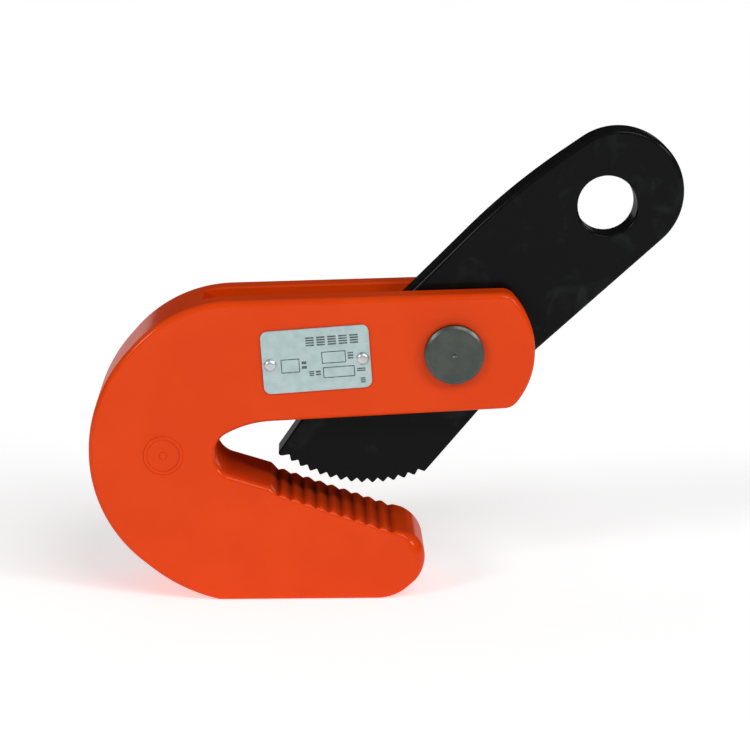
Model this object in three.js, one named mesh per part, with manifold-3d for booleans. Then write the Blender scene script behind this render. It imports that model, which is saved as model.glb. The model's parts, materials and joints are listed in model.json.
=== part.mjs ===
// Plate lifting clamp: a slotted C-shaped body with a toothed lower jaw, and a cam lever that
// hangs in the slot on a headed pin. Millimetres, +Z up. The front of the clamp faces -Y.
// The origin is on the flat base face, near its middle. Outlines are drawn in the XZ plane.
import * as THREE from 'three';
import { mergeVertices } from 'three/addons/utils/BufferGeometryUtils.js';
import Module from 'manifold-3d';

const wasm = await Module();
wasm.setup();

// ---------------------------------------------------------------- driving dimensions
const GAP = 0.3;                        // clearance between pieces that touch or fit
const ARC_STEP = 7 * Math.PI / 180;     // largest turn of one straight piece of an arc
const ROUND_SEGMENTS = 48;              // straight pieces round a pin, bore or washer
const SMALL_SEGMENTS = 20;              // the same round a rivet or the split pin's hole
const PAST = 1;                         // how far a cutting tool runs past a face

const BODY_THICKNESS = 56;
const SLOT_WIDTH = 24;
const LEVER_THICKNESS = 20;
const PIVOT = { x: 83.2, z: 137.2 };    // pin axis, parallel to Y

const PIN_RADIUS = 13;
const PIN_HEAD = { radius: 16, height: 4.6, chamfer: 0.9 };
const PIN_TAIL = { length: 11.5, chamfer: 1.2 };   // the shank's end behind the body
const BUSH_RADIUS = 16.5;
const THRUST_WASHER = { radius: 23, thickness: 1.3 };
const REAR_WASHER = { radius: 22, thickness: 3 };
const SPLIT_PIN = { wire: 1.1, spread: 1.25, eye: 3.4, above: 17, below: 20, bend: 7, splay: 6,
  neck: 1.2, behind: 35.4, hole: 2.9 };   // behind: y of its axis; hole: radius of the hole it sits in

const EYE = { x: 165.9, z: 213.7, radius: 16 };
const HEAD = { x: 172.9, z: 220.4, radius: 34.2, from: -48, to: 125 };

const JAW = { crestX: -8.6, crestZ: 59.75, slope: -19.1, pitch: 7.19, depth: 1.9, teeth: 10,
  valley: 0.66, round: 0.7 };             // valley: where it lies between two crests
const CAM = { x: 37.9, z: 137.9, radius: 77.2, depth: 2.8, first: 232.4, pitch: 4.357, teeth: 15,
  round: 0.6 };
const NOSE = { x: 52.4, z: 22, radius: 16, from: -48, to: 74.2 }; // round end of the lower jaw

const PLATE = { x: 9.5, z: 134.6, width: 58, height: 34.4, corner: 4, thickness: 0.8, tilt: 4 };
const RIVET = { spacing: 49.5, drop: 1.3, head: 3.5, dome: 1.4, domeSteps: 4, shank: 1.3,
  depth: 5 };

// ---------------------------------------------------------------- finishes
const FINISH = {
  paint: { color: 0xde4d1d, roughness: 0.38, metalness: 0.0 },
  black: { color: 0x1b1b1b, roughness: 0.42, metalness: 0.1 },
  oxide: { color: 0x3c423c, roughness: 0.45, metalness: 0.8 },
  zinc: { color: 0xb9bcc0, roughness: 0.35, metalness: 0.9 },
  brass: { color: 0xa98a4a, roughness: 0.4, metalness: 0.9 },
  aluminium: { color: 0xb9cdd0, roughness: 0.45, metalness: 0.9 },
};

// ---------------------------------------------------------------- geometry helpers
const radians = (degrees) => degrees * Math.PI / 180;
const heading = (degrees) => new THREE.Vector2(Math.cos(radians(degrees)), Math.sin(radians(degrees)));

/** Closed outline through corners [x, z, radius], each corner rounded by a tangent arc. */
function roundedOutline(corners) {
  const points = [];
  corners.forEach(([x, z, radius], i) => {
    const corner = new THREE.Vector2(x, z);
    const before = corners.at(i - 1);
    const after = corners[(i + 1) % corners.length];
    const into = corner.clone().sub(new THREE.Vector2(before[0], before[1])).normalize();
    const out = new THREE.Vector2(after[0], after[1]).sub(corner).normalize();
    const turn = Math.atan2(into.cross(out), into.dot(out));
    if (!radius || Math.abs(turn) < 1e-6) {
      points.push(corner);
      return;
    }
    const reach = radius * Math.tan(Math.abs(turn) / 2);
    const start = corner.clone().addScaledVector(into, -reach);
    const normal = new THREE.Vector2(-into.y, into.x).multiplyScalar(Math.sign(turn) * radius);
    const centre = start.clone().add(normal);
    const steps = Math.max(1, Math.ceil(Math.abs(turn) / ARC_STEP));
    for (let k = 0; k <= steps; k++) {
      points.push(start.clone().rotateAround(centre, turn * k / steps));
    }
  });
  return points;
}

/** Corners of a polygon that wraps an arc between two normals (degrees), for roundedOutline. */
function arcCorners({ x, z, radius, from, to }, count) {
  const half = (to - from) / count / 2;
  return Array.from({ length: count }, (_, k) => {
    const toCorner = heading(from + half * (2 * k + 1)).multiplyScalar(radius / Math.cos(radians(half)));
    return [x + toCorner.x, z + toCorner.y, 0.998 * radius];
  });
}

/** Plate with the given XZ outline between two values of y. */
function plate(outline, yFront, yBack) {
  const geometry = new THREE.ExtrudeGeometry(new THREE.Shape(outline), {
    depth: yBack - yFront, bevelEnabled: false, steps: 1,
  });
  return geometry.rotateX(Math.PI / 2).translate(0, yBack, 0);
}

/** Turned piece about an axis parallel to Y through (x, z); profile points are [radius, y]. */
function turned(profile, x, z, segments = ROUND_SEGMENTS) {
  const points = profile.map(([radius, y]) => new THREE.Vector2(radius, y));
  return new THREE.LatheGeometry(points, segments).translate(x, 0, z);
}

const cylinderY = (radius, yFront, yBack, x, z, segments = ROUND_SEGMENTS) =>
  turned([[0, yFront], [radius, yFront], [radius, yBack], [0, yBack]], x, z, segments);

/** Ring about an axis parallel to Y, with a square section. */
const ringY = (inner, outer, yFront, yBack, x, z) => turned(
  [[inner, yFront], [outer, yFront], [outer, yBack], [inner, yBack], [inner, yFront]], x, z);

function toSolid(geometry) {
  const bare = geometry.clone();
  bare.deleteAttribute('normal');
  bare.deleteAttribute('uv');
  const merged = mergeVertices(bare, 1e-4);
  const corners = merged.index.array;
  const triangles = [];
  for (let t = 0; t < corners.length; t += 3) {
    const [a, b, c] = corners.slice(t, t + 3);
    if (a !== b && b !== c && c !== a) triangles.push(a, b, c);
  }
  return new wasm.Manifold(new wasm.Mesh({
    numProp: 3, triVerts: new Uint32Array(triangles),
    vertProperties: new Float32Array(merged.attributes.position.array),
  }));
}

function fromSolid(solid) {
  const { vertProperties, triVerts } = solid.getMesh();
  const geometry = new THREE.BufferGeometry();
  geometry.setAttribute('position', new THREE.BufferAttribute(vertProperties, 3));
  geometry.setIndex(new THREE.BufferAttribute(triVerts, 1));
  return geometry;
}

/** First geometry less all the others. */
const cut = (geometry, ...tools) =>
  fromSolid(tools.reduce((solid, tool) => solid.subtract(toSolid(tool)), toSolid(geometry)));

function named(name, geometry, finish) {
  geometry.computeVertexNormals();
  const mesh = new THREE.Mesh(geometry, new THREE.MeshStandardMaterial(finish));
  mesh.name = name;
  return mesh;
}

// ---------------------------------------------------------------- clamp body
/** Jaw teeth from the nose to the throat: crest and valley corners along the sloping jaw. */
function jawTeeth() {
  const along = heading(JAW.slope);
  const up = heading(JAW.slope + 90);
  const first = new THREE.Vector2(JAW.crestX, JAW.crestZ);
  const corners = [];
  for (let k = JAW.teeth - 1; k >= 0; k--) {
    const crest = first.clone().addScaledVector(along, k * JAW.pitch);
    const valley = crest.clone().addScaledVector(along, (JAW.valley - 1) * JAW.pitch)
      .addScaledVector(up, -JAW.depth);
    corners.push([crest.x, crest.y, JAW.round], [valley.x, valley.y, JAW.round]);
  }
  return corners;
}

const BODY_CORNERS = [
  // underside of the arm and its round end, concentric with the pin
  [-26.8, 99.4, 56], [115.0, 106.4, 9], [126.7, 122.2, 43.5], [126.7, 153.9, 43.5], [113.1, 169.8, 9],
  // top of the arm, back and foot
  [-67.7, 165.3, 73], [-113.1, 113.8, 82], [-113.1, 45.0, 78], [-64.6, 5.7, 90], [-43.8, 0, 12],
  // round nose of the lower jaw
  [51.9, 0, 25], ...arcCorners(NOSE, 3),
  ...jawTeeth(),
  // step up to the smooth land, then the throat
  [-15.6, 63.7, 1.5], [-44.7, 72.8, 12.4], [-46.2, 89.5, 12.4],
];

/** Slot for the lever: open at the top and the arm's end, and into the mouth. */
const SLOT_OUTLINE = [[-53, 176], [-38.6, 91.5], [140, 91.5], [140, 176]]
  .map(([x, z]) => new THREE.Vector2(x, z));

function clampBody() {
  const half = BODY_THICKNESS / 2;
  const blank = plate(roundedOutline(BODY_CORNERS), -half, half);
  const slot = plate(SLOT_OUTLINE, -SLOT_WIDTH / 2, SLOT_WIDTH / 2);
  const bore = cylinderY(PIN_RADIUS + GAP, -half - PAST, half + PAST, PIVOT.x, PIVOT.z);
  const rivetHoles = rivetCentres().map(({ x, z }) =>
    cylinderY(RIVET.shank + GAP, -half - PAST, -half + RIVET.depth + GAP, x, z, SMALL_SEGMENTS));
  return named('clamp_body', cut(blank, slot, bore, ...rivetHoles), FINISH.paint);
}

// ---------------------------------------------------------------- cam lever
/** Cam teeth from the tip to the lever's lower edge, on a round cam; the tip is the first tooth. */
function camTeeth() {
  const place = (radius, angle) => {
    const p = heading(angle).multiplyScalar(radius);
    return [CAM.x + p.x, CAM.z + p.y, CAM.round];
  };
  const corners = [];
  for (let k = 1; k < CAM.teeth; k++) {
    const angle = CAM.first + CAM.pitch * k;
    corners.push(place(CAM.radius - CAM.depth, angle - CAM.pitch / 2), place(CAM.radius, angle));
  }
  return corners;
}

const LEVER_CORNERS = [
  // tip of the cam, the teeth, then the lower edge up to the head
  [-12.9, 75.9, 1.5], ...camTeeth(), [119.5, 126.3, 180],
  // round head, then the upper edge back to the tip
  ...arcCorners(HEAD, 3), [115.4, 222.8, 350], [28.7, 136.6, 200],
];

function camLever() {
  const half = LEVER_THICKNESS / 2;
  const blank = plate(roundedOutline(LEVER_CORNERS), -half, half);
  const eye = cylinderY(EYE.radius, -half - PAST, half + PAST, EYE.x, EYE.z);
  const bore = cylinderY(BUSH_RADIUS + GAP, -half - PAST, half + PAST, PIVOT.x, PIVOT.z);
  return named('cam_lever', cut(blank, eye, bore), FINISH.black);
}

// ---------------------------------------------------------------- pivot pieces
function pivotPin() {
  const front = -BODY_THICKNESS / 2 - GAP;
  const face = front - PIN_HEAD.height;
  const end = BODY_THICKNESS / 2 + PIN_TAIL.length;
  const { radius, chamfer } = PIN_HEAD;
  const shank = turned([[0, face], [radius - chamfer, face], [radius, face + chamfer], [radius, front],
    [PIN_RADIUS, front], [PIN_RADIUS, end - PIN_TAIL.chamfer], [PIN_RADIUS - PIN_TAIL.chamfer, end],
    [0, end]], PIVOT.x, PIVOT.z);
  const hole = new THREE.CylinderGeometry(SPLIT_PIN.hole, SPLIT_PIN.hole, 3 * PIN_RADIUS, SMALL_SEGMENTS)
    .rotateX(Math.PI / 2).translate(PIVOT.x, SPLIT_PIN.behind, PIVOT.z);
  return named('pivot_pin', cut(shank, hole), FINISH.oxide);
}

function leverBush() {
  const half = LEVER_THICKNESS / 2;
  return named('lever_bush',
    ringY(PIN_RADIUS + GAP, BUSH_RADIUS, -half, half, PIVOT.x, PIVOT.z), FINISH.brass);
}

/** Thin washer beside the lever; side is -1 at the front and 1 at the back. */
function thrustWasher(name, side) {
  const near = LEVER_THICKNESS / 2 + GAP;
  const far = near + THRUST_WASHER.thickness;
  const [yFront, yBack] = side < 0 ? [-far, -near] : [near, far];
  return named(name, ringY(PIN_RADIUS + GAP, THRUST_WASHER.radius, yFront, yBack, PIVOT.x, PIVOT.z),
    FINISH.zinc);
}

function pinWasher() {
  const front = BODY_THICKNESS / 2 + GAP;
  return named('pin_washer', ringY(PIN_RADIUS + GAP, REAR_WASHER.radius, front,
    front + REAR_WASHER.thickness, PIVOT.x, PIVOT.z), FINISH.zinc);
}

/** Split pin: one wire from a splayed end, up the hole, round the eye and back down. */
function splitPin() {
  const { wire, spread, eye, above, below, bend, splay, neck } = SPLIT_PIN;
  // a leg bends out along x = spread + splay t^2 while it drops by bend t
  const leg = (side) => [
    ...[1, 0.5, 0].map((t) => [side * (spread + splay * t * t), bend * (1 - t) - below]),
    [side * spread, -PIN_RADIUS / 3], [side * spread, PIN_RADIUS / 3], [side * spread, above - neck],
  ];
  const loopTurns = 10;
  const loop = Array.from({ length: loopTurns + 1 }, (_, k) => {
    const p = heading(-60 + 300 * k / loopTurns).multiplyScalar(eye);
    return [p.x, above + neck + eye + p.y];
  });
  const route = [...leg(1), ...loop, ...leg(-1).reverse()]
    .map(([x, z]) => new THREE.Vector3(x, 0, z));
  const section = new THREE.Shape().absarc(0, 0, wire, 0, 2 * Math.PI);
  const geometry = new THREE.ExtrudeGeometry(section, {
    extrudePath: new THREE.CatmullRomCurve3(route, false, 'centripetal'),
    steps: 64, curveSegments: 4, bevelEnabled: false,
  });
  const mesh = named('split_pin', geometry, FINISH.zinc);
  mesh.position.set(PIVOT.x, SPLIT_PIN.behind, PIVOT.z);
  return mesh;
}

// ---------------------------------------------------------------- nameplate
function rivetCentres() {
  const along = heading(PLATE.tilt);
  const up = heading(PLATE.tilt + 90);
  return [-1, 1].map((side) => ({
    x: PLATE.x + along.x * side * RIVET.spacing / 2 - up.x * RIVET.drop,
    z: PLATE.z + along.y * side * RIVET.spacing / 2 - up.y * RIVET.drop,
  }));
}

function nameplate() {
  const along = heading(PLATE.tilt);
  const up = heading(PLATE.tilt + 90);
  const corners = [[-1, -1], [1, -1], [1, 1], [-1, 1]].map(([i, k]) => [
    PLATE.x + along.x * i * PLATE.width / 2 + up.x * k * PLATE.height / 2,
    PLATE.z + along.y * i * PLATE.width / 2 + up.y * k * PLATE.height / 2,
    PLATE.corner,
  ]);
  const back = -BODY_THICKNESS / 2 - GAP;
  const blank = plate(roundedOutline(corners), back - PLATE.thickness, back);
  const holes = rivetCentres().map(({ x, z }) =>
    cylinderY(RIVET.shank + GAP, back - PLATE.thickness - PAST, back + PAST, x, z, SMALL_SEGMENTS));
  return named('nameplate', cut(blank, ...holes), FINISH.aluminium);
}

function rivet(name, { x, z }) {
  const seat = -BODY_THICKNESS / 2 - 2 * GAP - PLATE.thickness;
  const dome = Array.from({ length: RIVET.domeSteps + 1 }, (_, k) => {
    const angle = radians(90 * k / RIVET.domeSteps);
    return [RIVET.head * Math.sin(angle), seat - RIVET.dome * Math.cos(angle)];
  });
  const tip = -BODY_THICKNESS / 2 + RIVET.depth;
  return named(name, turned([...dome, [RIVET.shank, seat], [RIVET.shank, tip], [0, tip]], x, z,
    SMALL_SEGMENTS), FINISH.aluminium);
}

// ---------------------------------------------------------------- assembly
const [leftRivet, rightRivet] = rivetCentres();
const fixedParts = new THREE.Group();
fixedParts.add(clampBody(), nameplate(), rivet('nameplate_rivet_left', leftRivet),
  rivet('nameplate_rivet_right', rightRivet));

const swingingParts = new THREE.Group();
swingingParts.add(camLever(), leverBush(), thrustWasher('thrust_washer_front', -1),
  thrustWasher('thrust_washer_rear', 1));

const pinParts = new THREE.Group();
pinParts.add(pivotPin(), pinWasher(), splitPin());

const clamp = new THREE.Group();
clamp.add(fixedParts, swingingParts, pinParts);

export default clamp;
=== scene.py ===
"""Plate lifting clamp: a painted C-shaped body, a black cam lever, a headed pin and a nameplate.

Shapes are surfaces worked out on grids of two parameters. The frame is the CAD model's: +Z up from
the flat base, +X towards the lifting eye, and the front of the clamp faces -Y. Sizes of the sub-
assemblies are in millimetres, and meshes are in metres.
"""

import json
import logging
import math
from dataclasses import dataclass
from enum import Enum

import bpy
import numpy as np
from mathutils import Matrix, Vector
from mathutils.geometry import tessellate_polygon

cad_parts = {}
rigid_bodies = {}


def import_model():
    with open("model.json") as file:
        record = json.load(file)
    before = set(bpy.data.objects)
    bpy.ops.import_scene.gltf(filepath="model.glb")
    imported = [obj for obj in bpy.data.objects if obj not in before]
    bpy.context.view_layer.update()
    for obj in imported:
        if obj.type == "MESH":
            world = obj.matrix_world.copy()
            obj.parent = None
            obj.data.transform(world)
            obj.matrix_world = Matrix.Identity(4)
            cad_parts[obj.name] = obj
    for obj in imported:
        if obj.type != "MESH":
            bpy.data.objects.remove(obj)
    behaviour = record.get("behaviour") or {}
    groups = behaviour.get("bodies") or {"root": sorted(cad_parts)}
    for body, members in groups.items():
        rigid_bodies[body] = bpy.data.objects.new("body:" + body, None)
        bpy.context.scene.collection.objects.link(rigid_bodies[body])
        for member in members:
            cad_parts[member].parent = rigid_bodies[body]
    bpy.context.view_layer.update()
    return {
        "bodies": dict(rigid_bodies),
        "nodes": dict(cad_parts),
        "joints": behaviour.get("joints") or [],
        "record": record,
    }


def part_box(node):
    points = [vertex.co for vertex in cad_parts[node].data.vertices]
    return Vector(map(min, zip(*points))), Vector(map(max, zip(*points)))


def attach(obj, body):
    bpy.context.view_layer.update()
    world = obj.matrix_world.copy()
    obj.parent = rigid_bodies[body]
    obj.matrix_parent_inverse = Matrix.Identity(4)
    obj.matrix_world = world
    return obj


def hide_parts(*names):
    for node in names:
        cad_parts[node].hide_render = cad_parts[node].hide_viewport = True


LOG = logging.getLogger("plate_clamp")

MM = 0.001
WELD = 2e-7                        # points closer than this are one vertex (m)
ARC_TURN = math.radians(4)         # largest turn between two samples of an arc
ARC_STEP = 2.5                     # largest distance between two samples of an arc (mm)
STRAIGHT_STEP = 6.0                # the same on a straight stretch
TOOTH_STEP = 0.6                   # the same on the flank of a tooth
SUPPORT = 0.12                     # distance from an arc to the first sample beside it (mm)
TOOTH_SOFTNESS = 0.35              # how softly a tooth runs out into its edge, as a share of its depth
SLACK = 0.998                      # keeps the arcs of a wrapped polygon from touching
TINY = 1e-12                       # keeps divisions off zero
NEAR = 0.1                         # how far from an arc a sample still counts as on it (mm)
RANGE_SOCKETS = ("From Min", "From Max", "To Min", "To Max")
Colour = tuple[float, float, float]


# ---------------------------------------------------------------------------- outlines
@dataclass(frozen=True)
class Corner:
    """Corner of an outline, its arc's radius and its edge's radius, in millimetres.

    A corner of a toothed line also has its depth below the tooth tips and the heading of the
    line's own normal in degrees. Without a heading, the edge is rounded along the outline's normal.
    """

    x: float
    z: float
    radius: float = 0.0
    edge: float = 0.0
    depth: float = 0.0
    heading: float | None = None


@dataclass(frozen=True)
class Outline:
    """Samples along an outline in metres, one row each.

    Columns are the point (x, z), the outward normal, the direction against which the edge is
    rounded, the edge's radius and the depth below the tooth tips.
    """

    rows: np.ndarray

    @property
    def points(self) -> np.ndarray:
        """Places of the samples, (n, 2)."""
        return self.rows[:, 0:2]

    @property
    def normals(self) -> np.ndarray:
        """Outward normals, (n, 2)."""
        return self.rows[:, 2:4]

    @property
    def hull(self) -> np.ndarray:
        """Directions against which the edge is rounded, (n, 2)."""
        return self.rows[:, 4:6]

    @property
    def edge(self) -> np.ndarray:
        """Radius of the edge at each sample, (n,)."""
        return self.rows[:, 6]

    @property
    def depth(self) -> np.ndarray:
        """Depth below the tooth tips at each sample, (n,)."""
        return self.rows[:, 7]


def compass(degrees: float) -> np.ndarray:
    """Unit vector (cos a, sin a) of a heading in the XZ plane."""
    angle = math.radians(degrees)
    return np.array([math.cos(angle), math.sin(angle)])


def unit(vectors: np.ndarray) -> np.ndarray:
    """Vectors over their own length, along the last axis."""
    return vectors / np.maximum(np.linalg.norm(vectors, axis=-1, keepdims=True), TINY)


def right_of(direction: np.ndarray) -> np.ndarray:
    """Vector (z, -x) to the right of a travel direction, which is outward on a CCW outline."""
    return np.stack([direction[..., 1], -direction[..., 0]], axis=-1)


def rotated(vector: np.ndarray, angles: np.ndarray) -> np.ndarray:
    """Vector turned by each angle: (x cos a - z sin a, x sin a + z cos a)."""
    cos, sin = np.cos(angles), np.sin(angles)
    return np.stack([vector[0] * cos - vector[1] * sin, vector[0] * sin + vector[1] * cos], axis=-1)


def corner_arc(corner: Corner, into: np.ndarray, out: np.ndarray) -> np.ndarray:
    """Samples of the arc that rounds a corner.

    With travel directions a and b that turn by t, the arc of radius r starts at corner - a r tan|t/2|
    and its points are centre + sign(t) r n(u), where the normal n(u) is that of a turned by u t.

    Args:
        corner: the corner and its radii.
        into: unit direction of travel before the corner.
        out: unit direction of travel after it.

    Returns:
        Rows of an Outline, in millimetres.
    """
    turn = math.atan2(into[0] * out[1] - into[1] * out[0], float(into @ out))
    pieces = max(1, math.ceil(abs(turn) / ARC_TURN), math.ceil(abs(turn) * corner.radius / ARC_STEP))
    if corner.radius == 0:
        pieces = 1
    side = math.copysign(corner.radius, turn)
    start = np.array([corner.x, corner.z]) - into * corner.radius * math.tan(abs(turn) / 2)
    normals = rotated(right_of(into), turn * np.linspace(0, 1, pieces + 1))
    points = start - side * right_of(into) + side * normals
    hull = normals if corner.heading is None else np.tile(compass(corner.heading), (len(normals), 1))
    sizes = np.tile([corner.edge, corner.depth], (len(normals), 1))
    return np.hstack([points, normals, hull, sizes])


def straight(start: np.ndarray, end: np.ndarray, step: float) -> np.ndarray:
    """Samples between two rows, where the edge's radius changes by the smooth step u^2 (3 - 2u).

    Args:
        start: last row of one arc.
        end: first row of the next arc.
        step: largest distance between samples, in millimetres.

    Returns:
        The rows in between, without the two given.
    """
    length = float(np.linalg.norm(end[:2] - start[:2]))
    share = np.linspace(0, 1, max(1, math.ceil(length / step)) + 1)
    if length > 4 * SUPPORT:
        share = np.unique(np.concatenate([share, [SUPPORT / length, 1 - SUPPORT / length]]))
    share = share[1:-1, None]
    rows = start + (end - start) * share
    rows[:, 4:6] = unit(rows[:, 4:6])
    rows[:, 6:7] = start[6] + (end[6] - start[6]) * share ** 2 * (3 - 2 * share)
    return rows


def rounded(corners: list[Corner], closed: bool = True) -> Outline:
    """Outline through corners, each rounded by a tangent arc, with straight stretches between.

    Args:
        corners: corners in travel order, counter-clockwise for a closed outline.
        closed: whether the last corner joins the first; an open line starts and ends in its corners.

    Returns:
        The sampled outline in metres.
    """
    places = np.array([[corner.x, corner.z] for corner in corners])
    ways = unit(np.roll(places, -1, axis=0) - places)
    if not closed:
        ways[-1] = ways[-2]
    arcs = [corner_arc(corner, ways[i] if i == 0 and not closed else ways[i - 1], ways[i])
            for i, corner in enumerate(corners)]
    parts = []
    for i, arc in enumerate(arcs):
        parts.append(arc)
        if closed or i < len(arcs) - 1:
            following = (i + 1) % len(arcs)
            toothed = None not in (corners[i].heading, corners[following].heading)
            near = corners[i].depth + corners[following].depth > 0
            step = TOOTH_STEP if toothed or near else STRAIGHT_STEP
            parts.append(straight(arc[-1], arcs[following][0], step))
    rows = np.vstack(parts)
    rows[:, [0, 1, 6, 7]] *= MM
    return Outline(rows)


def wrap(x: float, z: float, radius: float, start: float, end: float, count: int,
         edge: float = 0.0) -> list[Corner]:
    """Corners of a polygon round an arc, whose own arcs make up that arc.

    Args:
        x: centre of the arc.
        z: centre of the arc.
        radius: radius of the arc; each corner lies at radius / cos(half its share of the angle).
        start: heading of the arc's first point, in degrees.
        end: heading of its last point.
        count: number of corners.
        edge: radius of the edge.

    Returns:
        The corners in travel order.
    """
    half = (end - start) / count / 2
    reach = radius / math.cos(math.radians(half))
    places = [np.array([x, z]) + reach * compass(start + half * (2 * k + 1)) for k in range(count)]
    return [Corner(px, pz, SLACK * radius, edge) for px, pz in places]


def ring(x: float, z: float, radius: float, edge: float, hole: bool = False, count: int = 96) -> Outline:
    """Circle as an outline, (x + r cos a, z + r sin a), in metres.

    Args:
        x: centre in millimetres.
        z: centre in millimetres.
        radius: radius in millimetres.
        edge: radius of its edge in millimetres.
        hole: whether it bounds a hole, so that its normals point at the centre.
        count: number of samples.

    Returns:
        The outline.
    """
    angles = np.linspace(0, 2 * np.pi, count, endpoint=False)
    away = np.stack([np.cos(angles), np.sin(angles)], axis=1)
    normals = -away if hole else away
    sizes = np.tile([edge, 0.0], (count, 1))
    rows = np.hstack([np.array([x, z]) + radius * away, normals, normals, sizes])
    rows[:, [0, 1, 6, 7]] *= MM
    return Outline(rows)


# ---------------------------------------------------------------------------- surfaces
def in_space(points: np.ndarray, y: np.ndarray) -> np.ndarray:
    """Points (x, z) and their y as points (x, y, z)."""
    return np.stack([points[..., 0], np.broadcast_to(y, points.shape[:-1]), points[..., 1]], axis=-1)


@dataclass(frozen=True)
class Rows:
    """Points and normals on a grid, both (rows, samples, 3)."""

    points: np.ndarray
    normals: np.ndarray

    def joined(self, other: "Rows") -> "Rows":
        """These rows followed by the other ones in reverse order."""
        return Rows(np.concatenate([self.points, other.points[::-1]]),
                    np.concatenate([self.normals, other.normals[::-1]]))


def edge_rows(outline: Outline, face: float, toward: int, edge: np.ndarray | None = None,
              steps: int = 9) -> Rows:
    """Quarter-round from a flat face to the side of an outline.

    At angle p from 0 to 90 degrees an edge of radius r lies at y = face + toward r (1 - cos p), moved
    in by i = (w + sqrt(w^2 + s^2)) / 2 with w = r (1 - sin p) - depth and s a share of the depth, so
    that a tooth runs out where the rounding has reached its root.

    Args:
        outline: the outline in metres.
        face: y of the flat face in metres.
        toward: 1 where the piece lies on the +Y side of the face, else -1.
        edge: radius of the edge at each sample, if not the outline's own.
        steps: number of rows less one.

    Returns:
        The rows, from the face to the side.
    """
    angle = np.linspace(0, np.pi / 2, steps + 1)[:, None]
    radius = outline.edge if edge is None else edge
    wanted = radius * (1 - np.sin(angle)) - outline.depth
    reach = np.hypot(wanted, TOOTH_SOFTNESS * outline.depth)
    inset = (wanted + reach) / 2
    share = np.where(reach > TINY, (1 + wanted / np.maximum(reach, TINY)) / 2, 1.0)
    travel = -right_of(outline.normals)
    climb = np.sum(travel * outline.hull, axis=1)
    along = travel - (share * climb)[..., None] * outline.hull
    side = unit(right_of(along))
    flat = outline.points - inset[..., None] * outline.hull
    y = face + toward * radius * (1 - np.cos(angle))
    lift = -toward * np.cos(angle) * share * np.sum(side * outline.hull, axis=-1)
    return Rows(in_space(flat, y), unit(in_space(side * np.sin(angle)[..., None], lift)))


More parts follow.
